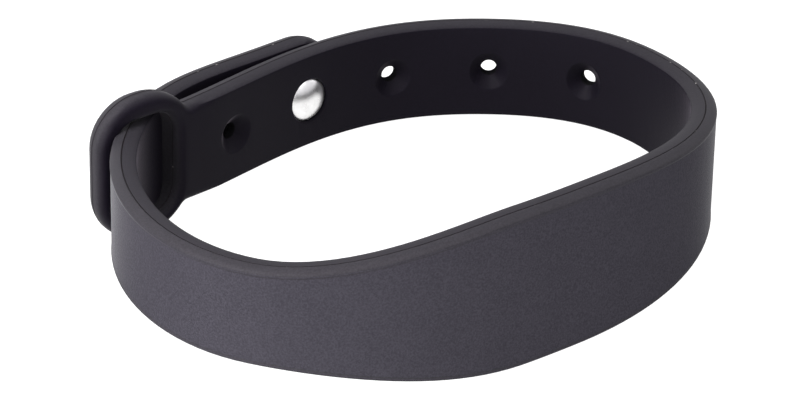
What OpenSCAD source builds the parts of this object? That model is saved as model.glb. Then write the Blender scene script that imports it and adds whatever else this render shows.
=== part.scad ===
// Silicone wristband for a contactless tag, closed round the wrist and lying on its side.
// The band is one moulding that passes through its own loop, and a metal stud holds it shut.
// Every place on the band is given by how far it is along the band's middle line from the
// middle of the head, how far out from the wrist, and how far up.

/* [Strap] */
// Width of the strap
strap_w = 12; // [10:0.5:14]
// Thickness of the silicone
strap_t = 3; // [2.6:0.1:3]
// Rounding of the long edges
edge_r = 0.9; // [0.8:0.1:1.1]
// Length of the tail past the stud
tail_past = 7.2; // [6:0.1:8]

/* [Head] */
// Width of the head at its widest
head_w = 19; // [14:0.5:22]
// Half length of the head's widest stretch
head_flat = 4; // [0:1:6]
// Length of the head's taper towards the tail
taper_tail = 31; // [24:1:34]
// Length of the head's taper towards the holes
taper_holes = 49; // [30:1:50]

/* [Holes] */
// Number of holes in the strap
hole_count = 5; // [2:1:6]
// Distance from one hole to the next
hole_pitch = 12.3; // [8:0.1:12.5]
// Diameter of a hole where it is narrowest
hole_d = 1.9; // [1.9:0.1:2.4]
// Diameter of the funnel on the wrist side of a free hole
funnel_d = 4.8; // [4.4:0.1:5.2]
// Depth of the funnel
funnel_depth = 1.2; // [1:0.1:1.3]
// Diameter of the flat seat that the stud's dome presses into the worn hole
seat_d = 5.4; // [5.3:0.1:6]
// Depth of the seat
seat_depth = 0.7; // [0.5:0.1:0.9]
// Diameter of the recess on the outer side
back_recess_d = 3.4; // [2.6:0.1:4]
// Depth of the recess on the outer side
back_recess_depth = 0.7; // [0.5:0.1:1.2]

/* [Loop] */
// Width of the loop's bars above and below the slot
side_bar = 2.3; // [2:0.1:2.8]
// Length of the loop along the strap
loop_len = 13.5; // [13.2:0.1:14]
// Corner radius of the loop's outer edge at its end
loop_corner = 5.8; // [4.8:0.2:6]
// Corner radius of the loop's outer edge where it grows out of the strap
loop_shoulder = 7; // [6:0.2:7.2]
// Height of the slot over the strap's width
slot_room = 1; // [1:0.1:1.4]
// Length of the slot along the strap
slot_len = 8.9; // [8.9:0.1:9.2]
// Corner radius of the slot at the loop's end
slot_corner = 2; // [1:0.1:2]
// Corner radius of the slot beside the strap
slot_shoulder = 2.2; // [1:0.1:2.2]
// Width of the bar at the loop's end
end_bar = 2.1; // [2:0.1:2.2]
// Thickness of the loop's bars
bar_t = 3.1; // [2.6:0.1:3.1]
// Rise of the loop's outer edge over the strap's middle line
loop_rise = 0.4; // [0:0.1:0.5]

/* [Stud] */
// Diameter of the stud's domed head
dome_d = 5.2; // [4.6:0.1:5.2]
// Height of the dome over its rim
dome_h = 0.9; // [0.6:0.1:1.2]
// Height of the rim round the dome
rim_h = 0.3; // [0.2:0.1:0.4]
// Diameter of the post
post_d = 1.7; // [1.4:0.1:1.7]
// Diameter of the round foot on the outer side of the tail
foot_d = 7; // [6:0.1:8]
// Thickness of the foot
foot_t = 0.8; // [0.6:0.1:1]

/* [Hidden] */

// How the band's middle line bends. Columns: distance along it from the middle of the head,
// and bend there in degrees for each centimetre. Negative distances run towards the tail.
bend_rows = [
    [-120, -24],
    [-108, 10.6],
    [-96, -4.5],
    [-84, 27.5],
    [-72, 15.9],
    [-60, 17.8],
    [-48, 21.1],
    [-36, 31.3],
    [-24, 20],
    [-12, 15],
    [0, 3],
    [12, 11],
    [24, 20],
    [36, 24],
    [48, 24],
    [60, 30],
    [72, 14],
    [84, 22],
    [96, 12],
    [108, 0.4],
    [120, -11.8],
    [132, -5]
];
// Length of the short straight steps that follow the bends
route_step = 1;
// The two places on the bent band that the stud joins, one in the strap and one in the tail
stud_at = 97;
tail_stud = 101.1;
// The stud's hole, counted from the loop
worn_hole = 1;
first_hole = stud_at + worn_hole * hole_pitch;
// Distance from the middle of the head to the loop's end
band_end = 129.1;
slot_h = strap_w + slot_room;
loop_h = slot_h + 2 * side_bar;
tip_r = strap_w / 2;
tip_at = -tail_stud - tail_past + tip_r;
// Spacing of the sections along the strap
ring_step = 2;
// Segments in each rounded edge
edge_steps = 4;
// Angles round the tail's tip, from the stud's place to just short of the end
tip_angles = [86, 78, 68, 57, 45, 30, 15];
// Rounding of the loop's bars
bar_r = 1.3;
// Segments in each corner of the loop
corner_steps = 6;
// Gap between the stud and the silicone
stud_gap = 0.1;
// Lean of the band as it lies by itself on its edges, and the heading of the side that sinks
lean = 4.38;
lean_heading = 46.5;
// Depth by which a cut starts outside what it cuts, and the larger depth of the strap's holes
eps = 0.01;
cut_start = 1;
$fn = 64;

// Distances of the route's stations from the middle of the head
route_from = bend_rows[0][0];
route_to = bend_rows[len(bend_rows) - 1][0];
stations = [for (a = [route_from : route_step : route_to]) a];
last_station = len(stations) - 1;
turns = [for (a = stations) lookup(a + route_step / 2, bend_rows) * route_step / 10];
headings_raw = [
    for (i = 0, h = 0; i <= last_station; h = h + turns[i], i = i + 1) h
];
head_station = -route_from / route_step;
headings = [for (h = headings_raw) h - headings_raw[head_station]];
steps_x = [for (i = [0 : last_station]) route_step * cos(headings[i] + turns[i] / 2)];
steps_y = [for (i = [0 : last_station]) route_step * sin(headings[i] + turns[i] / 2)];
sum_x = [for (i = 0, x = 0; i <= last_station; x = x + steps_x[i], i = i + 1) x];
sum_y = [for (i = 0, y = 0; i <= last_station; y = y + steps_y[i], i = i + 1) y];
table_heading = [for (i = [0 : last_station]) [stations[i], headings[i]]];
table_x = [for (i = [0 : last_station]) [stations[i], sum_x[i] - sum_x[head_station]]];
table_y = [for (i = [0 : last_station]) [stations[i], sum_y[i] - sum_y[head_station]]];

// A point by its distance along the band, out from its middle line and up
function heading(along) = lookup(along, table_heading);
function place(along, out, up) = [
    lookup(along, table_x) + out * sin(heading(along)),
    lookup(along, table_y) - out * cos(heading(along)),
    up
];

// Half the band's width: the strap, swelling smoothly to the head
function ease(t) = let (u = min(max(t, 0), 1)) u * u * (3 - 2 * u);
function head_taper(along) = along < 0 ? taper_tail : taper_holes;
function half_width(along) =
    strap_w / 2 + (head_w - strap_w) / 2 * (1 - ease((abs(along) - head_flat) / head_taper(along)));

// Half the band's width and half its thickness at the tail's round tip
function tip_past(along) = tip_at - along;
function tip_half(along) = sqrt(max(tip_r * tip_r - tip_past(along) * tip_past(along), 0));
function tip_thick(along) =
    let (inset = max(edge_r - (tip_r - tip_past(along)), 0))
    strap_t / 2 - edge_r + sqrt(edge_r * edge_r - inset * inset);
function section_half(along) = tip_past(along) > 0 ? tip_half(along) : half_width(along);
function section_thick(along) = tip_past(along) > 0 ? tip_thick(along) : strap_t / 2;

// Points of a rectangle with rounded corners: half width a, half height b, corner radius
// r at the far end and near_r at the near end
function rounded(a, b, r, near_r, steps) = [
    for (corner = [[1, 1, 0, r], [-1, 1, 90, near_r], [-1, -1, 180, near_r], [1, -1, 270, r]])
    for (i = [0 : steps])
    let (angle = corner[2] + 90 * i / steps, cr = corner[3])
    [corner[0] * (a - cr) + cr * cos(angle), corner[1] * (b - cr) + cr * sin(angle)]
];

// Faces of a tube of rings, closed at its ends or joined to itself
function tube_faces(rings, sides, closed) = concat(
    [
        for (i = [0 : rings - (closed ? 1 : 2)])
        for (j = [0 : sides - 1])
        let (i2 = (i + 1) % rings, j2 = (j + 1) % sides)
        [i * sides + j, i * sides + j2, i2 * sides + j2, i2 * sides + j]
    ],
    closed ? [] : [
        [for (j = [0 : sides - 1]) sides - 1 - j],
        [for (j = [0 : sides - 1]) (rings - 1) * sides + j]
    ]
);

// The strap ends inside the loop's nearest bar
strap_end = (band_end - loop_len + band_end - end_bar - slot_len) / 2;
// Places of the strap's sections, closer together round the tail's tip
strap_places = concat(
    [for (a = tip_angles) tip_at - tip_r * sin(a)],
    [for (a = [tip_at : ring_step : strap_end]) a],
    [strap_end]
);

strap_points = [
    for (a = strap_places)
    let (w = section_thick(a), h = section_half(a), r = min(edge_r, w * 0.98, h * 0.98))
    for (p = rounded(w, h, r, r, edge_steps))
    place(a, p[0], p[1])
];

// The strap from the tail's tip to the loop, as a row of sections
module strap() {
    faces = tube_faces(len(strap_places), 4 * (edge_steps + 1), false);
    polyhedron(strap_points, faces, convexity = 10);
}

// The loop's outer edge and its slot, seen square on, with the same number of points
loop_at = band_end - loop_len / 2;
slot_at = band_end - end_bar - slot_len / 2;
loop_edge = rounded(loop_len / 2, loop_h / 2, loop_corner, loop_shoulder, corner_steps);
slot_edge = rounded(slot_len / 2, slot_h / 2, slot_corner, slot_shoulder, corner_steps);

loop_points = [
    for (i = [0 : len(loop_edge) - 1])
    let (
        outer = [loop_at, loop_rise] + loop_edge[i],
        inner = [slot_at, 0] + slot_edge[i],
        middle = (outer + inner) / 2,
        width = norm(outer - inner),
        side = (outer - inner) / width,
        r = min(bar_r, width * 0.49)
    )
    for (p = rounded(width / 2, bar_t / 2, r, r, edge_steps))
    place(middle[0] + side[0] * p[0], p[1], middle[1] + side[1] * p[0])
];

// The loop at the strap's end, as a ring of round-edged bars between the two outlines
module loop() {
    faces = tube_faces(len(loop_edge), 4 * (edge_steps + 1), true);
    polyhedron(loop_points, faces, convexity = 10);
}

// Whatever is drawn in here has its z axis pointing out of the band at a place along it
module outward(along) {
    translate(place(along, 0, 0))
    rotate([0, 0, heading(along)])
    rotate([90, 0, 0])
    children();
}

// One hole of the strap, with a round recess on the outer side. On the wrist side a free hole
// is sunk like a funnel, and the worn one is a flat seat.
module strap_hole(worn) {
    depth = cut_start + (worn ? seat_depth : funnel_depth);
    funnel_mouth = hole_d + (funnel_d - hole_d) * depth / funnel_depth;
    cylinder(d = hole_d, h = strap_t + cut_start, center = true);
    translate([0, 0, -strap_t / 2 - cut_start])
    cylinder(d1 = worn ? seat_d : funnel_mouth, d2 = worn ? seat_d : hole_d, h = depth);
    translate([0, 0, strap_t / 2 - back_recess_depth])
    cylinder(d = back_recess_d, h = back_recess_depth + 0.1);
}

// Distance out from the strap's middle line to the tail's, at the stud
tail_out = norm(place(-tail_stud, 0, 0) - place(stud_at, 0, 0));
foot_out = tail_out + strap_t / 2 - foot_t - 2 * stud_gap;

module band() color("dimgray")
resting()
difference() {
    union() {
        strap();
        loop();
    }
    for (i = [0 : hole_count - 1])
    outward(first_hole - i * hole_pitch)
    strap_hole(i == worn_hole);
    outward(stud_at) {
        translate([0, 0, tail_out - strap_t / 2 - eps])
        cylinder(d = hole_d, h = strap_t);
        translate([0, 0, foot_out])
        cylinder(d = foot_d + 2 * stud_gap, h = strap_t);
    }
}

// The stud: a domed head on the wrist side, a post through strap and tail, and a round foot
module stud() color("silver")
resting()
outward(stud_at) {
    floor_out = -strap_t / 2 + seat_depth - stud_gap;
    dome_r = (dome_d * dome_d / 4 + dome_h * dome_h) / (2 * dome_h);
    dome_edge = asin(dome_d / 2 / dome_r);
    rotate_extrude()
    polygon(concat(
        [for (i = [0 : 12]) let (a = dome_edge * i / 12)
            [dome_r * sin(a), floor_out - rim_h - dome_h + dome_r * (1 - cos(a))]],
        [
            [dome_d / 2, floor_out],
            [post_d / 2, floor_out],
            [post_d / 2, foot_out + stud_gap],
            [foot_d / 2, foot_out + stud_gap],
            [foot_d / 2, foot_out + stud_gap + foot_t],
            [0, foot_out + stud_gap + foot_t]
        ]
    ));
}

// A point turned about the vertical, and one tipped towards its x axis
function turned(p, angle) = [
    p[0] * cos(angle) - p[1] * sin(angle),
    p[0] * sin(angle) + p[1] * cos(angle),
    p[2]
];
function tipped(p, angle) = [
    p[0] * cos(angle) + p[2] * sin(angle),
    p[1],
    p[2] * cos(angle) - p[0] * sin(angle)
];
function leaned(p) = turned(tipped(turned(p, -lean_heading), lean), lean_heading);

// Corners of the leaning band's box
leaned_points = [for (p = concat(strap_points, loop_points)) leaned(p)];
low = [for (k = [0 : 2]) min([for (p = leaned_points) p[k]])];
high = [for (k = [0 : 2]) max([for (p = leaned_points) p[k]])];

// Lays the band down the way it lies by itself, with the middle of its underside at the origin
module resting() {
    translate([-(low[0] + high[0]) / 2, -(low[1] + high[1]) / 2, -low[2]])
    rotate([0, 0, lean_heading])
    rotate([0, lean, 0])
    rotate([0, 0, -lean_heading])
    children();
}

band();
stud();
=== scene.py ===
import math
import bpy
import bmesh
from mathutils import Matrix, Vector


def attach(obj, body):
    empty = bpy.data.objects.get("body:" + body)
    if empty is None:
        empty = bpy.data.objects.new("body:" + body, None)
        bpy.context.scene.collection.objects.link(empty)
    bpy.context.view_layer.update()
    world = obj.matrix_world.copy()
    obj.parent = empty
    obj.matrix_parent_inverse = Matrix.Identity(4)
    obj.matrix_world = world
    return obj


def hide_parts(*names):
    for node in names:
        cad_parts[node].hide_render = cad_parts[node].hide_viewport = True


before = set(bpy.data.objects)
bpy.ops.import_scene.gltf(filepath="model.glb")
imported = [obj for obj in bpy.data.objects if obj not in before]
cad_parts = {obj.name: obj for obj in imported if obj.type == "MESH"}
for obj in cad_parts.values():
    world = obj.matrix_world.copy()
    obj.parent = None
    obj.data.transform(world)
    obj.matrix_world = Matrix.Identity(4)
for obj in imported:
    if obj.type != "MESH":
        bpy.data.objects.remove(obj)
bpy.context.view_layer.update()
print("frame loaded")

# camera at the photo's angle: degrees and metres, and millimetres for the lens and its sensor
photoCamera = {
    "azimuth": -38.703,
    "elevation": 32.145,
    "roll": 0.736,
    "distance": 0.46,
    "target": (-0.004114, -0.00358, 0.008753),
    "lens": 184.7,
    "sensor": 36,
    "clipStart": 0.01,
}


def towards(azimuth, elevation):
    # direction out from the band: azimuth 0 is -y and 90 is +x, and elevation is up from the floor
    around, up = math.radians(azimuth), math.radians(elevation)
    return Vector((math.sin(around) * math.cos(up), -math.cos(around) * math.cos(up), math.sin(up)))


def addPhotoCamera(cam):
    back = towards(cam["azimuth"], cam["elevation"])
    roll = Matrix.Rotation(math.radians(cam["roll"]), 3, "Z")
    turn = back.to_track_quat("Z", "Y").to_matrix() @ roll
    place = Vector(cam["target"]) + back * cam["distance"]
    bpy.ops.object.camera_add(location=place, rotation=turn.to_euler())
    camera = bpy.context.object
    camera.name = "photoView"
    camera.data.lens = cam["lens"]
    camera.data.sensor_width = cam["sensor"]
    camera.data.clip_start = cam["clipStart"]
    bpy.context.scene.camera = camera


addPhotoCamera(photoCamera)
print("camera set")

millimetre = 0.001    # both pieces are modelled in millimetres and then laid out in metres

# selecting: share of a face's normal along z, and distances of points in millimetres
facing = 0.9          # a face that looks out of the flat blank, up or down
flat = 0.99           # a face without any rounding
steep = 0.7           # a face with less than this is a wall
weld = 0.001          # points nearer than this become one
level = 0.0005        # points within this are at one height


def only(piece):
    if bpy.context.mode != "OBJECT":
        bpy.ops.object.mode_set(mode="OBJECT")
    bpy.ops.object.select_all(action="DESELECT")
    piece.select_set(True)
    bpy.context.view_layer.objects.active = piece


def pick(piece, test, kind="FACE"):
    # deselects everything, then selects what passes the test, in edit mode
    if bpy.context.mode != "EDIT_MESH":
        only(piece)
        bpy.ops.object.mode_set(mode="EDIT")
    bpy.ops.mesh.select_mode(type=kind)
    bpy.ops.mesh.select_all(action="DESELECT")
    mesh = bmesh.from_edit_mesh(piece.data)
    for row in {"FACE": mesh.faces, "VERT": mesh.verts}[kind]:
        if test(row):
            row.select_set(True)
    mesh.select_flush_mode()
    bmesh.update_edit_mesh(piece.data)


def pickAll(piece):
    pick(piece, lambda face: True)


def pickLevel(piece, height, low=-math.inf, high=math.inf):
    # the points at one height, between two places along the blank
    pick(piece, lambda vert: abs(vert.co.z - height) < level and low < vert.co.x < high, "VERT")


def applyPlace(piece, matrix):
    only(piece)
    piece.matrix_world = matrix @ piece.matrix_world
    bpy.ops.object.transform_apply(location=True, rotation=True, scale=True)


def tracePoints(name, points, closed):
    # a small plane becomes one vertex, which is extruded from point to point
    only(bpy.context.scene.camera)    # so that no other piece is selected
    bpy.ops.mesh.primitive_plane_add(size=0.1, location=(0, 0, 0))
    piece = bpy.context.object
    piece.name = name
    bpy.ops.object.mode_set(mode="EDIT")
    bpy.ops.mesh.select_mode(type="VERT")
    bpy.ops.mesh.merge(type="CENTER")
    bpy.ops.transform.translate(value=(*points[0], 0)[:3])
    for a, b in zip(points, points[1:]):
        step = Vector((*b, 0)[:3]) - Vector((*a, 0)[:3])
        bpy.ops.mesh.extrude_region_move(TRANSFORM_OT_translate={"value": step})
    if closed:
        bpy.ops.mesh.select_all(action="SELECT")
        bpy.ops.mesh.edge_face_add()
    bpy.ops.object.mode_set(mode="OBJECT")
    return piece


def spinProfile(name, profile, steps):
    # a closed turned shape from a profile of radius and height, about the z axis
    piece = tracePoints(name, [(r, 0, z) for r, z in profile], False)
    only(piece)
    bpy.ops.object.mode_set(mode="EDIT")
    bpy.ops.mesh.select_all(action="SELECT")
    bpy.ops.mesh.spin(steps=steps, angle=math.tau, center=(0, 0, 0), axis=(0, 0, 1))
    bpy.ops.mesh.select_all(action="SELECT")
    bpy.ops.mesh.remove_doubles(threshold=weld)
    bpy.ops.mesh.normals_make_consistent(inside=False)
    bpy.ops.object.mode_set(mode="OBJECT")
    return piece


def spread(start, end, steps):
    return [start + (end - start) * i / steps for i in range(steps + 1)]


def arc(centre, radius, start, end, steps):
    # points from one angle to another, in degrees, with 0 along x
    angles = [math.radians(angle) for angle in spread(start, end, steps)]
    return [(centre[0] + radius * math.cos(a), centre[1] + radius * math.sin(a)) for a in angles]


def smoothStep(share):
    return share * share * (3 - 2 * share)


def liftFaces(height):
    bpy.ops.mesh.extrude_region_move(TRANSFORM_OT_translate={"value": (0, 0, height)})


def roundOver(rows):
    # carries the selected faces through a profile of inset and height
    for (inset0, height0), (inset1, height1) in zip(rows, rows[1:]):
        bpy.ops.mesh.inset(thickness=inset1 - inset0, depth=height1 - height0,
                           use_boundary=True, use_even_offset=True)


# the band in millimetres and degrees: x runs along its flat blank from the middle of the head, y
# across it and z out of its outer side, with the wrist side below; round sizes are radii
bandSizes = {
    # the outline
    "thickness": 3, "strapWidth": 12, "headWidth": 19,
    "headFlat": 4,                          # half the length of the head's straight part
    "taperTail": 31, "taperHoles": 49,      # lengths in which the head narrows to either side
    "tailStud": -101.1, "tailPast": 7.2,    # stud's hole in the tail, and the tail beyond it
    "loopEnd": 129.1, "loopLength": 13.5, "loopHeight": 17.6,
    "loopRise": 0.4,                        # how far the loop stands off the strap's middle line
    "loopCorner": 5.8, "loopShoulder": 7, "loopFillet": 1.2,
    # the edges: width, height and starting angle of the roundings of the outer and the wrist
    # side, and the rim from the outer one down to the face, as inset and dip
    "outerRound": (0.6, 1.15, 50), "wristRound": (1.05, 1.2, 0),
    "rim": ((0.12, 0.012), (0.28, 0.042), (0.4, 0.05)),
    # the wrist side's tighter rounding off the loop: its top and width, and how much of it each
    # stretch of the band takes, as share, start and end
    "tightTop": 0.05, "tightWidth": 0.38,
    "tightShares": ((1, -120, 113), (2 / 3, 113, 114.3), (1 / 3, 114.3, 115.5)),
    "line": 0.2, "lineDepth": 0.1, "lineHalf": 0.08,    # parting line: height, depth, half width
    # the holes
    "wornHole": 97.0, "freeHoles": (109.3, 84.7, 72.4, 60.1), "hole": 0.95,
    "mouth": 2.4, "mouthDepth": 1.2, "mouthLip": 0.35, "throatLip": 0.15,    # a free hole's funnel
    "seat": 2.7, "seatDepth": 0.7, "seatLip": 0.2, "seatCorner": 0.2,        # the worn one's seat
    "backRecess": 1.7, "backDepth": 0.7,    # recess round each hole on the outer side
    "footRecess": 3.6, "footFloor": 0.5,    # recess of the stud's foot in the tail
    "recessLip": (0.1, 0.02),               # how far a recess opens at its lip, and past the face
    # the loop's slot
    "slotStart": 118.1, "slotEnd": 127.0, "slotHeight": 13.0, "slotCorner": 3.2,
    "slotFlare": (0.85, 1.2),               # rounding of its rim on the wrist side
    "slotDraft": 0.4,                       # lean of the wall beside the strap on the outer side
    "slotLineDepth": 0.08, "slotLineHalf": 0.08,
    # how far the cutters stand past the blank, and the slot's one past the outer side
    "cutterPast": 1, "slotPast": 0.1,
    # distance between the rows of points along the band, their least distance from the loop, and
    # steps of the round stretches
    "station": 1.5, "stationGap": 0.5,
    "tipSteps": 16, "filletSteps": 6, "loopSteps": 12, "roundSteps": 8, "slotSteps": 10,
    "lipSteps": 6, "cornerSteps": 4, "holeSteps": 64, "footSteps": 80,
    # where the finishes lie
    "loopFrom": 115,                        # the loop's own finish starts here
    "wristTop": -0.25,                      # the wrist side's faces are lower than this
    "throatReach": 0.05, "faceReach": 0.005,    # room for finding the throats and the outer face
    # heights between which painted shade darkens the edges to the wrist side, off the loop and on
    # it, and its least share off the loop, from this far under the parting line
    "edgeFade": (-0.9, -1.8), "loopFade": (-0.45, -1.5), "leastDark": 0.24, "leastBelow": 0.05,
    "lineFade": 0.1,                        # reach of the parting line's colour
    # the closed band: bend at each distance from the middle of the head, negative towards the
    # tail, in degrees for each centimetre
    "bends": [
        (-120, -24), (-108, 10.6), (-96, -4.5), (-84, 27.5), (-72, 15.9), (-60, 17.8),
        (-48, 21.1), (-36, 31.3), (-24, 20), (-12, 15), (0, 3), (12, 11), (24, 20),
        (36, 24), (48, 24), (60, 30), (72, 14), (84, 22), (96, 12), (108, 0.4),
        (120, -11.8), (132, -5),
    ],
    "lean": 4.38, "leanHeading": 46.5,      # as it lies on its edges, and the side that sinks
    "shift": (-1.7837, -26.8479, 9.9227),   # from the head's middle to its place over the floor
}


def halfWidth(sizes, along):
    taper = sizes["taperTail"] if along < 0 else sizes["taperHoles"]
    share = min(max((abs(along) - sizes["headFlat"]) / taper, 0), 1)
    wider = (sizes["headWidth"] - sizes["strapWidth"]) / 2
    return sizes["strapWidth"] / 2 + wider * (1 - smoothStep(share))


def loopSide(sizes, rise):
    # from the strap's edge through the fillet and round one half of the loop
    edge, fillet, shoulder = sizes["strapWidth"] / 2, sizes["loopFillet"], sizes["loopShoulder"]
    top, start = sizes["loopHeight"] / 2 + rise, sizes["loopEnd"] - sizes["loopLength"]
    centre = (start + shoulder, top - shoulder)
    up = edge + fillet - centre[1]
    back = math.sqrt((shoulder + fillet) ** 2 - up ** 2)
    angle = math.degrees(math.atan2(up, -back))
    corner = (sizes["loopEnd"] - sizes["loopCorner"], top - sizes["loopCorner"])
    return arc((centre[0] - back, edge + fillet), fillet, -90, angle - 180, sizes["filletSteps"]) \
        + arc(centre, shoulder, angle, 90, sizes["loopSteps"])[1:] \
        + arc(corner, sizes["loopCorner"], 90, 0, sizes["loopSteps"])


def halfOutline(sizes, side):
    # one half of the band seen square on, between its middle line and its edge
    tipRound, station = sizes["strapWidth"] / 2, sizes["station"]
    tipAt = sizes["tailStud"] - sizes["tailPast"] + tipRound
    loop = loopSide(sizes, side * sizes["loopRise"])
    count = math.ceil((loop[0][0] - sizes["stationGap"] - tipAt) / station)
    strap = [(tipAt + station * i, halfWidth(sizes, tipAt + station * i)) for i in range(1, count)]
    tip = arc((tipAt, 0), tipRound, 180, 90, sizes["tipSteps"])
    return [(x, side * y) for x, y in tip + strap + loop + [(sizes["loopEnd"], 0)]]


def rounding(width, height, start, steps):
    # inset and height along a quarter turn that sets off at an angle
    angles = [math.radians(angle) for angle in spread(start, 90, steps)]
    cos0, sin0 = math.cos(angles[0]), math.sin(angles[0])
    insets = [width * (1 - math.cos(a) / cos0) for a in angles]
    heights = [height * (math.sin(a) - sin0) / (1 - sin0) for a in angles]
    return list(zip(insets, heights))


def tightenEdge(piece, sizes, rows):
    # off the loop, moves the rows of the wrist side's rounding to a tighter one
    half, top = sizes["thickness"] / 2, sizes["tightTop"]
    for inset, depth in rows[:-1]:
        height = sizes["wristRound"][1] - half - depth
        left = max(0, 1 - inset / sizes["tightWidth"])
        tight = top - (half + top) * math.sqrt(1 - left * left)
        for share, low, high in sizes["tightShares"]:
            pickLevel(piece, height, low, high)
            bpy.ops.transform.translate(value=(0, 0, share * (tight - height)))


def makeBlank(sizes):
    halves = [tracePoints("bandSilicone", halfOutline(sizes, side), True) for side in (1, -1)]
    only(halves[0])
    halves[1].select_set(True)
    bpy.ops.object.join()
    piece = bpy.context.object
    pickAll(piece)
    bpy.ops.mesh.remove_doubles(threshold=weld)
    # a thin slab up from the parting line
    half, line, lineHalf = sizes["thickness"] / 2, sizes["line"], sizes["lineHalf"]
    pickAll(piece)
    bpy.ops.transform.translate(value=(0, 0, line))
    liftFaces(lineHalf)
    pickAll(piece)
    bpy.ops.mesh.normals_make_consistent(inside=False)
    # wall, rounding, rim and face of the outer side
    width, height, start = sizes["outerRound"]
    pick(piece, lambda face: face.normal.z > facing)
    liftFaces(half - height - line - lineHalf)
    rim = [(width + inset, height - dip) for inset, dip in sizes["rim"]]
    roundOver(rounding(width, height, start, sizes["roundSteps"]) + rim)
    # wall and rounding of the wrist side
    width, height, start = sizes["wristRound"]
    pick(piece, lambda face: face.normal.z < -facing)
    liftFaces(-lineHalf)
    liftFaces(lineHalf + height - half - line)
    rows = rounding(width, height, start, sizes["roundSteps"])
    roundOver(rows)
    tightenEdge(piece, sizes, rows)
    # parting line sunk round the edge
    pickLevel(piece, line)
    bpy.ops.transform.shrink_fatten(value=-sizes["lineDepth"])
    bpy.ops.object.mode_set(mode="OBJECT")
    return piece


def cutStations(piece, sizes):
    # rows of edges across the band, for it to bend at
    start, station = sizes["tailStud"] - sizes["tailPast"], sizes["station"]
    for i in range(1, int((sizes["loopEnd"] - start) / station)):
        pickAll(piece)
        bpy.ops.mesh.bisect(plane_co=(start + station * i, 0, 0), plane_no=(1, 0, 0), threshold=weld)
    bpy.ops.object.mode_set(mode="OBJECT")


def funnelProfile(sizes, half, outside):
    # a rounded lip, a straight cone and a rounded throat
    lip, throat, hole = sizes["mouthLip"], sizes["throatLip"], sizes["hole"]
    slope = math.atan2(sizes["mouthDepth"], sizes["mouth"] - hole)
    edge = sizes["mouth"] + lip * math.tan(slope / 2)
    end = sizes["mouthDepth"] - half + throat * math.tan((math.pi / 2 - slope) / 2)
    cone = 270 - math.degrees(slope)
    return [(0, -outside), (edge, -outside)] \
        + arc((edge, lip - half), lip, 270, cone, sizes["lipSteps"]) \
        + arc((hole + throat, end), throat, cone, 180, sizes["cornerSteps"])


def seatProfile(sizes, half, outside):
    # a rounded lip and the flat floor under the stud's dome
    lip, corner, seat = sizes["seatLip"], sizes["seatCorner"], sizes["seat"]
    floor = sizes["seatDepth"] - half
    return [(0, -outside), (seat + lip, -outside)] \
        + arc((seat + lip, lip - half), lip, 270, 180, sizes["lipSteps"]) \
        + arc((seat - corner, floor - corner), corner, 0, 90, sizes["cornerSteps"]) \
        + [(sizes["hole"], floor)]


def recessProfile(sizes, half, outside, radius, floor):
    # the hole's end, and the floor, wall and lip of a round recess on the outer side
    lip, over = sizes["recessLip"]
    return [(sizes["hole"], floor), (radius, floor), (radius, half - lip),
            (radius + lip, half + over), (radius + lip, outside), (0, outside)]


def slotCutter(sizes, half, outside):
    (flare, height), lineHalf = sizes["slotFlare"], sizes["slotLineHalf"]
    start, end = sizes["slotStart"] - flare, sizes["slotEnd"] + flare
    top, corner = sizes["slotHeight"] / 2 + flare, sizes["slotCorner"] + flare
    centres = ((end - corner, top - corner), (start + corner, top - corner),
               (start + corner, corner - top), (end - corner, corner - top))
    points = []
    for i, centre in enumerate(centres):
        points += arc(centre, corner, 90 * i, 90 * i + 90, sizes["slotSteps"])
    cutter = tracePoints("slotCutter", points, True)
    applyPlace(cutter, Matrix.Translation((0, 0, -outside)))
    pickAll(cutter)
    liftFaces(outside - half)
    pickAll(cutter)
    bpy.ops.mesh.normals_make_consistent(inside=False)
    pick(cutter, lambda face: face.normal.z > facing)
    quarter = spread(0, math.pi / 2, sizes["roundSteps"])
    roundOver([(flare * math.sin(a), height * (1 - math.cos(a))) for a in quarter])
    for lift in (half - height - lineHalf, lineHalf, lineHalf, half + sizes["slotPast"] - lineHalf):
        liftFaces(lift)
    nearStrap = sizes["slotStart"] + sizes["slotCorner"]
    pick(cutter, lambda vert: vert.co.z > half and vert.co.x < nearStrap, "VERT")
    bpy.ops.transform.translate(value=(sizes["slotDraft"], 0, 0))
    # its parting line is in the middle of the wall
    pickLevel(cutter, 0)
    bpy.ops.transform.shrink_fatten(value=sizes["slotLineDepth"])
    bpy.ops.object.mode_set(mode="OBJECT")
    return cutter


def cutOpenings(piece, sizes):
    half = sizes["thickness"] / 2
    outside = half + sizes["cutterPast"]
    cutters = [slotCutter(sizes, half, outside)]
    back = recessProfile(sizes, half, outside, sizes["backRecess"], half - sizes["backDepth"])
    for place in (sizes["wornHole"], *sizes["freeHoles"]):
        frontProfile = seatProfile if place == sizes["wornHole"] else funnelProfile
        profile = frontProfile(sizes, half, outside) + back
        cutters.append(spinProfile("holeCutter", profile, sizes["holeSteps"]))
        applyPlace(cutters[-1], Matrix.Translation((place, 0, 0)))
    profile = [(0, -outside), (sizes["hole"], -outside)] \
        + recessProfile(sizes, half, outside, sizes["footRecess"], sizes["footFloor"])
    cutters.append(spinProfile("tailCutter", profile, sizes["footSteps"]))
    applyPlace(cutters[-1], Matrix.Translation((sizes["tailStud"], 0, 0)))
    only(cutters[0])
    for other in cutters[1:]:
        other.select_set(True)
    bpy.ops.object.join()
    only(piece)
    cut = piece.modifiers.new("openings", "BOOLEAN")
    cut.operation = "DIFFERENCE"
    cut.solver = "EXACT"
    cut.object = cutters[0]
    bpy.ops.object.modifier_apply(modifier=cut.name)
    bpy.data.objects.remove(cutters[0])
    pickAll(piece)
    bpy.ops.mesh.remove_doubles(threshold=weld)
    bpy.ops.object.mode_set(mode="OBJECT")


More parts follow.
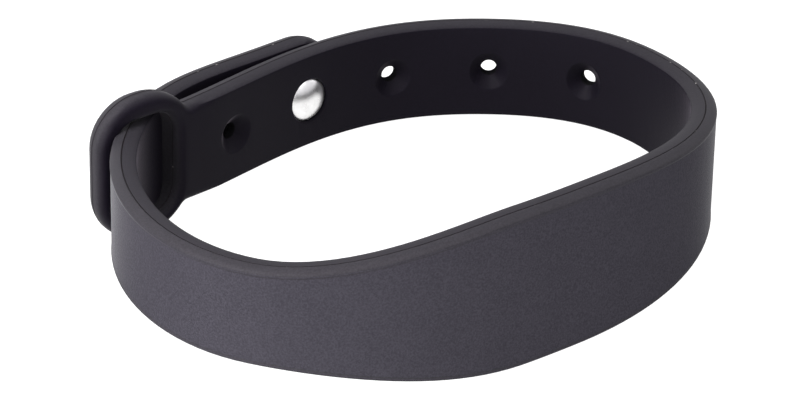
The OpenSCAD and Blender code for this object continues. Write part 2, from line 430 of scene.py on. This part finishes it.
def readTable(table, x):
    # in a straight line between the rows, and level beyond them
    for (x0, y0), (x1, y1) in zip(table, table[1:]):
        if x <= x1:
            return y0 + (y1 - y0) * max(x - x0, 0) / (x1 - x0)
    return table[-1][1]


def routePoints(bends):
    # the band's middle line in plan, a point a millimetre: distance, x, y and heading
    start, end = bends[0][0], bends[-1][0]
    x, y, heading, rows = 0.0, 0.0, 0.0, []
    for along in range(start, end + 1):
        rows.append((along, x, y, heading))
        # the bend halfway to the next point, over a tenth of a centimetre
        turn = readTable(bends, along + 0.5) / 10
        x += math.cos(math.radians(heading + turn / 2))
        y += math.sin(math.radians(heading + turn / 2))
        heading += turn
    # turned and moved, so that the middle of the head is at the origin and heads along x
    x0, y0, heading0 = rows[-start][1:]
    back = Matrix.Rotation(math.radians(-heading0), 2)
    return [(along, *(back @ Vector((x - x0, y - y0))), heading - heading0)
            for along, x, y, heading in rows]


def restMatrix(sizes):
    # from the route, in millimetres, to the band's place on the floor, in metres
    heading = math.radians(sizes["leanHeading"])
    sink = Matrix.Rotation(math.radians(sizes["lean"]), 4, "Y")
    lean = Matrix.Rotation(heading, 4, "Z") @ sink @ Matrix.Rotation(-heading, 4, "Z")
    return Matrix.Scale(millimetre, 4) @ Matrix.Translation(sizes["shift"]) @ lean


def bendBand(piece, route, rest):
    # turned on its edge, with the start of the route at x 0, laid along it, leaned and set down
    onEdge = Matrix.Rotation(math.radians(90), 4, "X")
    applyPlace(piece, Matrix.Translation((-route[0][0], 0, 0)) @ onEdge)
    line = tracePoints("bandRoute", [(x, y, 0) for _, x, y, _ in route], False)
    only(line)
    bpy.ops.object.convert(target="CURVE")
    line = bpy.context.object
    line.data.twist_mode = "Z_UP"
    only(piece)
    bend = piece.modifiers.new("bend", "CURVE")
    bend.object = line
    bend.deform_axis = "POS_X"
    bpy.ops.object.modifier_apply(modifier=bend.name)
    bpy.data.objects.remove(line)
    applyPlace(piece, rest)


def outwardMatrix(route, rest, along):
    # place on the closed band with z out of its outer side
    first, last = route[0][0], len(route) - 2
    row = min(max(math.floor(along) - first, 0), last)
    a, b = route[row], route[row + 1]
    x, y, heading = [a[k] + (b[k] - a[k]) * (along - a[0]) for k in (1, 2, 3)]
    turn = Matrix.Rotation(math.radians(heading), 4, "Z") @ Matrix.Rotation(math.radians(90), 4, "X")
    return rest @ Matrix.Translation((x, y, 0)) @ turn


def outerFace(face):
    # flat of the outer side, inside the rim
    height = bandSizes["thickness"] / 2 - bandSizes["rim"][-1][1] - bandSizes["faceReach"]
    return face.normal.z > flat and face.calc_center_median().z > height


def shadedWristFace(face):
    # wrist side off the loop, with the funnels and the seat, which get painted shade
    x, y, z = face.calc_center_median()
    inside = abs(y) < halfWidth(bandSizes, x) - bandSizes["tightWidth"]
    return z < bandSizes["wristTop"] and x < bandSizes["loopFrom"] and inside


def shadedThroatFace(face):
    # walls of the narrow part of a free hole, which get painted shade
    middle = face.calc_center_median()
    near = min(math.hypot(middle.x - place, middle.y) for place in bandSizes["freeHoles"])
    return near < bandSizes["hole"] + bandSizes["throatReach"] and abs(face.normal.z) < steep


def giveFinish(piece, name, test):
    pick(piece, test)
    piece.active_material_index = piece.data.materials.find(name)
    bpy.ops.object.material_slot_assign()
    bpy.ops.object.mode_set(mode="OBJECT")


def markBand(piece, sizes):
    # two attributes for the edges: the first is painted shade, growing from 0 above the parting
    # line to 1 on the wrist side, and the second is 1 in the line's groove and fades out beside it;
    # inside the edges they are 1 and 0
    wrist = piece.data.color_attributes.new(name="wristShade", type="FLOAT_COLOR", domain="POINT")
    line = piece.data.color_attributes.new(name="partingLine", type="FLOAT_COLOR", domain="POINT")
    for i, vert in enumerate(piece.data.vertices):
        x, y, z = vert.co
        offLoop = x < sizes["loopFrom"]
        edge = sizes["tightWidth"] if z < 0 else sizes["wristRound"][0]
        inside = offLoop and abs(y) < halfWidth(sizes, x) - edge
        start, end = sizes["edgeFade"] if offLoop else sizes["loopFade"]
        least = sizes["leastDark"] if offLoop and z < sizes["line"] - sizes["leastBelow"] else 0
        # painted shade: darker from the parting line down to the wrist side
        dark = max(least, smoothStep(min(max((z - start) / (end - start), 0), 1)))
        wrist.data[i].color = (*[1 if inside else dark] * 3, 1)
        # the slot's own line is at height 0
        off = abs(z - sizes["line"]) if offLoop else min(abs(z - sizes["line"]), abs(z))
        line.data[i].color = (*[0 if inside else max(0, 1 - off / sizes["lineFade"])] * 3, 1)


def socket(node, key):
    # a mix node has its inputs once for each type, and only those of its own type are in use
    return next(s for s in node.inputs if s.name == key and s.enabled)


def result(node):
    return next(s for s in node.outputs if s.name == "Result" and s.enabled)


def setSockets(node, values):
    for key, value in values.items():
        socket(node, key).default_value = value


def addNode(tree, kind, place, values=None, **settings):
    node = tree.nodes.new("ShaderNode" + kind)
    node.location = place    # in the node editor
    for key, value in settings.items():
        setattr(node, key, value)
    setSockets(node, values or {})
    return node


def addNoise(tree, spot, place, values):
    noise = addNode(tree, "TexNoise", place, values)
    tree.links.new(spot, noise.inputs["Vector"])
    return noise.outputs["Fac"]


def addRamp(tree, factor, place, stops, colors):
    ramp = addNode(tree, "ValToRGB", place)
    for element, stop, color in zip(ramp.color_ramp.elements, stops, colors):
        element.position = stop
        element.color = color
    tree.links.new(factor, ramp.inputs["Fac"])
    return ramp.outputs["Color"]


def addRange(tree, value, place, source, target):
    ends = {"From Min": source[0], "From Max": source[1], "To Min": target[0], "To Max": target[1]}
    node = addNode(tree, "MapRange", place, ends)
    tree.links.new(value, socket(node, "Value"))
    return result(node)


def addBump(tree, height, place, strength, distance):
    bump = addNode(tree, "Bump", place, {"Strength": strength, "Distance": distance})
    tree.links.new(height, bump.inputs["Height"])
    return bump.outputs["Normal"]


def blendColor(tree, place, factor, below, above, kind):
    mix = addNode(tree, "Mix", place, {"B": above}, data_type="RGBA", blend_type=kind)
    tree.links.new(factor, socket(mix, "Factor"))
    tree.links.new(below, socket(mix, "A"))
    return result(mix)


def newMaterial(name, sockets):
    material = bpy.data.materials.new(name)
    material.use_nodes = True
    shader = material.node_tree.nodes["Principled BSDF"]
    setSockets(shader, sockets)
    return material, material.node_tree, shader


def linkShader(tree, shader, color, rough, normal):
    tree.links.new(color, shader.inputs["Base Color"])
    tree.links.new(rough, shader.inputs["Roughness"])
    tree.links.new(normal, shader.inputs["Normal"])


# silicone: a fine grain with some cloud in it gives the colour and the roughness, each between
# two ends of the pattern, and the grain alone gives the bump, its depth in metres
siliconeFinish = {
    "grain": {"Scale": 4600, "Detail": 3.0, "Roughness": 0.6},
    "cloud": {"Scale": 180.0, "Detail": 4.0, "Roughness": 0.55},
    "cloudShare": 0.12,
    "colorEnds": (0.38, 0.62), "roughEnds": (0.35, 0.65), "bumpDepth": 0.00006,
    "tint": {"Specular Tint": (0.97, 0.92, 1, 1)},
    # on the edges: painted shade darkens them towards the wrist side; the parting line is browner,
    # partly its own tone and partly painted shade in its groove; and pale shreds of flash, their
    # paleness a painted glint, stand in it where their noise passes this range
    "wristShadeColor": (0.2, 0.165, 0.26, 1), "lineToneAndShade": (0.15, 0.09, 0.08, 1),
    "shredGlintColor": (0.28, 0.27, 0.26, 1), "shredRange": (0.71, 0.74),
    "shreds": {"Scale": 1100, "Detail": 1.0},
    "surfaces": {
        "smoothSilicone": {    # edges and loop
            "colors": ((0.0152, 0.0142, 0.0166, 1), (0.0218, 0.0204, 0.024, 1)),
            "rough": (0.45, 0.55), "bump": 0.25,
            "shader": {"Specular IOR Level": 0.052, "Sheen Weight": 0.02, "Sheen Roughness": 0.25},
        },
        "grainedSilicone": {    # outer face
            "colors": ((0.0217, 0.0204, 0.0254, 1), (0.031, 0.0291, 0.036, 1)),
            "rough": (0.72, 0.84), "bump": 0.45,
            "shader": {"Specular IOR Level": 0.0, "Sheen Weight": 0.16, "Sheen Roughness": 0.25},
        },
        # painted shade: the wrist side off the loop is darker, standing in for the shade inside the
        # band
        "shadedWristSilicone": {    # wrist side off the loop
            "colors": ((0.0029, 0.0023, 0.0042, 1), (0.0041, 0.0033, 0.0058, 1)),
            "rough": (0.5, 0.6), "bump": 0.25,
            "shader": {"Specular IOR Level": 0.052, "Sheen Weight": 0.12, "Sheen Roughness": 0.25,
                       "Sheen Tint": (0.97, 0.86, 1, 1)},
        },
        # painted shade: the narrow part of the holes is darker, as it lies in shade
        "shadedHoleSilicone": {    # narrow part of the holes
            "colors": ((0.004, 0.004, 0.0045, 1), (0.007, 0.0068, 0.0075, 1)),
            "rough": (0.8, 0.9), "bump": 0.2,
            "shader": {"Specular IOR Level": 0.0, "Sheen Weight": 0, "Sheen Roughness": 0.3},
        },
    },
}


def edgeColor(tree, spot, color, finish):
    # what the band's two attributes add to the colour of its edges: painted shade towards the wrist
    # side, the line's brown tone with painted shade in its groove, and pale shreds as painted glints
    wrist = addNode(tree, "Attribute", (-900, 600), attribute_name="wristShade").outputs["Fac"]
    line = addNode(tree, "Attribute", (-900, 900), attribute_name="partingLine").outputs["Fac"]
    # painted shade towards the wrist side
    color = blendColor(tree, (-100, 600), wrist, color, finish["wristShadeColor"], "MULTIPLY")
    # the parting line's brown tone, partly painted shade in its groove
    color = blendColor(tree, (100, 750), line, color, finish["lineToneAndShade"], "MULTIPLY")
    noise = addNoise(tree, spot, (-900, 1150), finish["shreds"])
    shreds = addRange(tree, noise, (-600, 1150), finish["shredRange"], (0, 1))
    both = addNode(tree, "Math", (-350, 1000), operation="MULTIPLY")
    tree.links.new(shreds, both.inputs[0])
    tree.links.new(line, both.inputs[1])
    # pale shreds of flash on the line, their paleness a painted glint
    return blendColor(tree, (300, 900), both.outputs["Value"], color, finish["shredGlintColor"], "MIX")


def siliconeMaterial(name, finish):
    surface = finish["surfaces"][name]
    material, tree, shader = newMaterial(name, {**finish["tint"], **surface["shader"]})
    spot = addNode(tree, "TexCoord", (-1200, 0)).outputs["Object"]
    grain = addNoise(tree, spot, (-900, 150), finish["grain"])
    cloud = addNoise(tree, spot, (-900, -150), finish["cloud"])
    mix = addNode(tree, "Mix", (-600, 150), {"Factor": finish["cloudShare"]})
    tree.links.new(grain, socket(mix, "A"))
    tree.links.new(cloud, socket(mix, "B"))
    color = addRamp(tree, result(mix), (-350, 200), finish["colorEnds"], surface["colors"])
    rough = addRange(tree, result(mix), (-350, -50), finish["roughEnds"], surface["rough"])
    bump = addBump(tree, grain, (-350, -350), surface["bump"], finish["bumpDepth"])
    if name == "smoothSilicone":
        color = edgeColor(tree, spot, color, finish)
    linkShader(tree, shader, color, rough, bump)
    return material


# the stud's satin steel, whose haze gives its colour, roughness and bump
steelFinish = {
    "haze": {"Scale": 900.0, "Detail": 5.0, "Roughness": 0.6},
    "ends": (0.35, 0.65),
    "colors": ((0.68, 0.675, 0.67, 1), (0.8, 0.795, 0.79, 1)), "rough": (0.27, 0.35),
    "bump": 0.1, "bumpDepth": 0.00002,
    "shader": {"Metallic": 1.0},
}


def steelMaterial(finish):
    material, tree, shader = newMaterial("satinSteel", finish["shader"])
    spot = addNode(tree, "TexCoord", (-1000, 0)).outputs["Object"]
    haze = addNoise(tree, spot, (-700, 100), finish["haze"])
    color = addRamp(tree, haze, (-350, 250), finish["ends"], finish["colors"])
    rough = addRange(tree, haze, (-350, -50), finish["ends"], finish["rough"])
    bump = addBump(tree, haze, (-350, -350), finish["bump"], finish["bumpDepth"])
    linkShader(tree, shader, color, rough, bump)
    return material


band = makeBlank(bandSizes)
print("blank", len(band.data.vertices), len(band.data.polygons))
cutStations(band, bandSizes)
print("stations", len(band.data.vertices), len(band.data.polygons))
cutOpenings(band, bandSizes)
print("holes", len(band.data.vertices), len(band.data.polygons))

# every face has the first finish until it is given another
for name in siliconeFinish["surfaces"]:
    band.data.materials.append(siliconeMaterial(name, siliconeFinish))
markBand(band, bandSizes)
giveFinish(band, "grainedSilicone", outerFace)
# the wrist side off the loop gets the darker finish of painted shade
giveFinish(band, "shadedWristSilicone", shadedWristFace)
giveFinish(band, "shadedHoleSilicone", shadedThroatFace)
print("silicone on")

route = routePoints(bandSizes["bends"])
rest = restMatrix(bandSizes)
bendBand(band, route, rest)
print("band bent")

# the stud, turned from one piece: dome on the wrist side, post, and foot on the tail's outer
# side; radii, and heights out from the strap's middle line, in millimetres
studSizes = {
    "dome": 2.6, "domeRise": 0.9, "domeRound": 0.1,         # rise of its cap, rounding of its edge
    "rimHeight": 0.3, "under": -0.9, "underRound": 0.05,    # its rim and its underside
    "post": 0.85,
    "foot": 3.5, "footLow": 3.74, "footHigh": 4.54, "footBevel": 0.08, "footRound": 0.2,
    "domeSteps": 24, "roundSteps": 5, "underSteps": 3, "turnSteps": 128,
}


def studProfile(sizes):
    # from the crown of the dome, over its edge, down the post and out to the foot
    dome, rise, edge, under = sizes["dome"], sizes["domeRise"], sizes["domeRound"], sizes["underRound"]
    ball = (dome * dome + rise * rise) / (2 * rise)
    crown = sizes["under"] - sizes["rimHeight"] - rise
    tilt = math.asin((dome - edge) / (ball - edge))
    edgeHeight = crown + ball - (ball - edge) * math.cos(tilt)
    foot, low, high = sizes["foot"], sizes["footLow"], sizes["footHigh"]
    bevel, corner = sizes["footBevel"], sizes["footRound"]
    cap = [(ball * math.sin(a), crown + ball * (1 - math.cos(a)))
           for a in spread(0, tilt, sizes["domeSteps"])]
    return cap \
        + arc((dome - edge, edgeHeight), edge, math.degrees(tilt) - 90, 0, sizes["roundSteps"])[1:] \
        + arc((dome - under, sizes["under"] - under), under, 0, 90, sizes["underSteps"]) \
        + [(sizes["post"], sizes["under"]), (sizes["post"], low)] \
        + [(foot - bevel, low), (foot, low + bevel)] \
        + arc((foot - corner, high - corner), corner, 0, 90, sizes["roundSteps"]) + [(0, high)]


studPiece = spinProfile("steelStud", studProfile(studSizes), studSizes["turnSteps"])
applyPlace(studPiece, outwardMatrix(route, rest, bandSizes["wornHole"]))
studPiece.data.materials.append(steelMaterial(steelFinish))
print("stud", len(studPiece.data.polygons))

smoothAngle = math.radians(18)    # edges that turn more than this stay sharp
for piece in (band, studPiece):
    only(piece)
    bpy.ops.object.shade_smooth_by_angle(angle=smoothAngle)

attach(band, "root")
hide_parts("band")
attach(studPiece, "root")
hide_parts("stud")
print("pieces in the frame")

studio = {
    "floor": {"size": 3.0, "height": -0.00005},    # just under the band, in metres
    "floorShader": {
        "Base Color": (0.15, 0.15, 0.15, 1), "Roughness": 0.9, "Specular IOR Level": 0.0,
        "Emission Color": (1, 1, 1, 1), "Emission Strength": 1.0,
    },
    "world": {"Color": (0.97, 0.96, 1, 1), "Strength": 0.92},
    "softboxes": [
        # name, azimuth and elevation in degrees, distance and size in metres, power in watts
        ("leftHighBox", 255, 58, 0.22, 0.12, 0.82),
        ("leftLowBox", 285, 8, 0.22, 0.12, 0.49),
        ("frontLeftBox", 315, 8, 0.22, 0.12, 0.4),
        ("frontHighBox", 15, 58, 0.22, 0.12, 0.15),
        ("backLeftBox", 236, 14, 1.05, 0.6, 5.0),
        ("backBox", 175, 14, 1.05, 0.6, 1.8),
        ("rightBox", 85, 30, 1.05, 0.6, 2.6),
    ],
}


def addFloor(settings):
    only(bpy.context.scene.camera)
    place = (0, 0, settings["floor"]["height"])
    bpy.ops.mesh.primitive_plane_add(size=settings["floor"]["size"], location=place)
    floor = bpy.context.object
    floor.name = "paleFloor"
    floor.data.materials.append(newMaterial("paleFloor", settings["floorShader"])[0])


def addLights(settings):
    for name, azimuth, elevation, distance, size, power in settings["softboxes"]:
        side = towards(azimuth, elevation)
        turn = side.to_track_quat("Z", "Y").to_euler()
        bpy.ops.object.light_add(type="AREA", location=side * distance, rotation=turn)
        light = bpy.context.object
        light.name = name
        light.data.size = size
        light.data.energy = power
        light.visible_camera = False
    world = bpy.data.worlds.new("studio")
    world.use_nodes = True
    setSockets(world.node_tree.nodes["Background"], settings["world"])
    bpy.context.scene.world = world
    bpy.context.scene.view_settings.view_transform = "Standard"


addFloor(studio)
addLights(studio)
print("studio lit")
